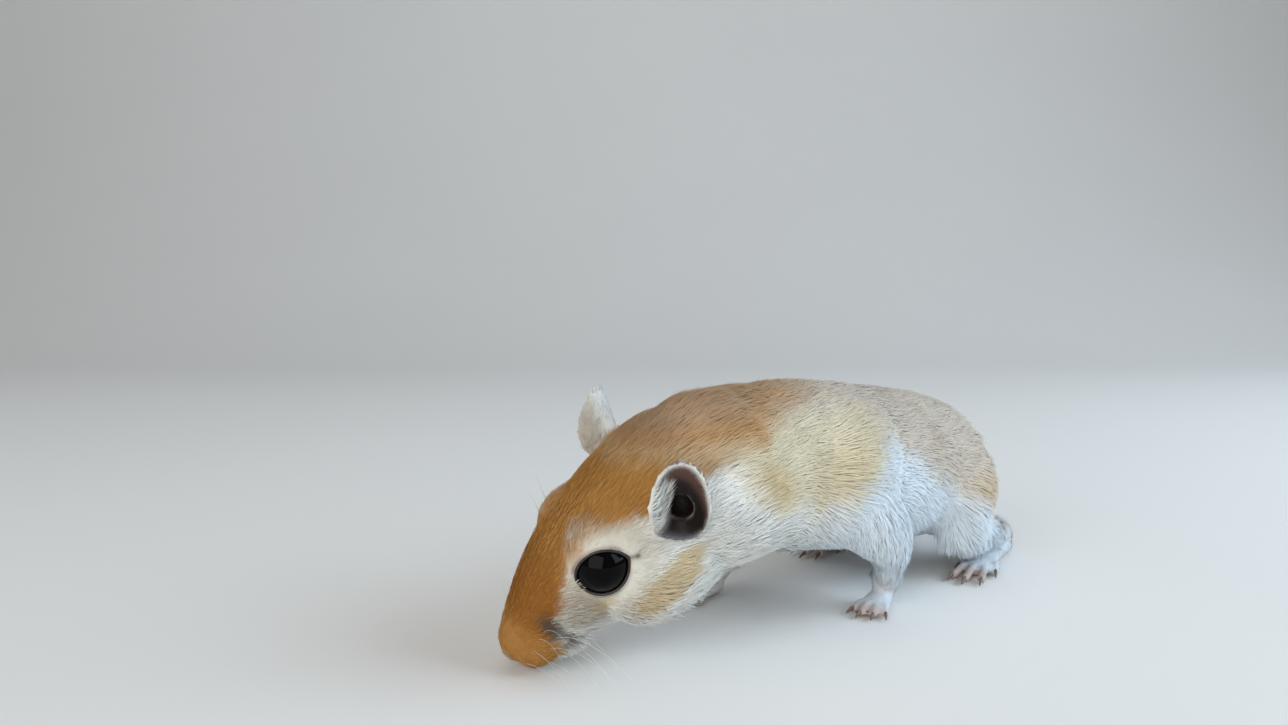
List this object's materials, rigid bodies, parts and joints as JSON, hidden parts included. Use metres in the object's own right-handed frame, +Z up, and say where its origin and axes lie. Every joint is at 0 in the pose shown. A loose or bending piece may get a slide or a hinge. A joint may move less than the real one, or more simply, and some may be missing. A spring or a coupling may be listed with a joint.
{
  "type": "gerbil model",
  "caption": "Life-size gerbil with a honey and white coat, stretched forward with its nose low and its head turned, standing with its tail laid on the floor.",
  "frame": {"origin": "on the floor under the middle of the whole animal's box", "axes": "+Z up, -Y the way the trunk faces, +X the animal's left side"},
  "size_m": [0.0866, 0.2134, 0.045],
  "materials": {
    "fur_orange": "short soft fur, matte",
    "fur_cream": "short soft fur, matte",
    "fur_white": "short soft fur, matte",
    "fur_tuft": "longer tail fur, matte",
    "paw_skin": "soft skin under thin fur",
    "ear_skin": "thin soft skin",
    "eye_black": "wet gloss"
  },
  "bodies": {
    "root": {"head": "fur_orange", "neck": "fur_orange", "torso": "fur_cream", "tail_base": "fur_orange", "tail_middle": "fur_orange", "tail_tip": "fur_tuft", "leg_front_left": "fur_white", "leg_front_right": "fur_white", "leg_hind_left": "fur_white", "leg_hind_right": "fur_white", "paw_front_left": "paw_skin", "paw_front_right": "paw_skin", "foot_hind_left": "paw_skin", "foot_hind_right": "paw_skin", "ear_left": "ear_skin", "ear_right": "ear_skin", "eye_left": "eye_black", "eye_right": "eye_black"}
  },
  "joints": []
}
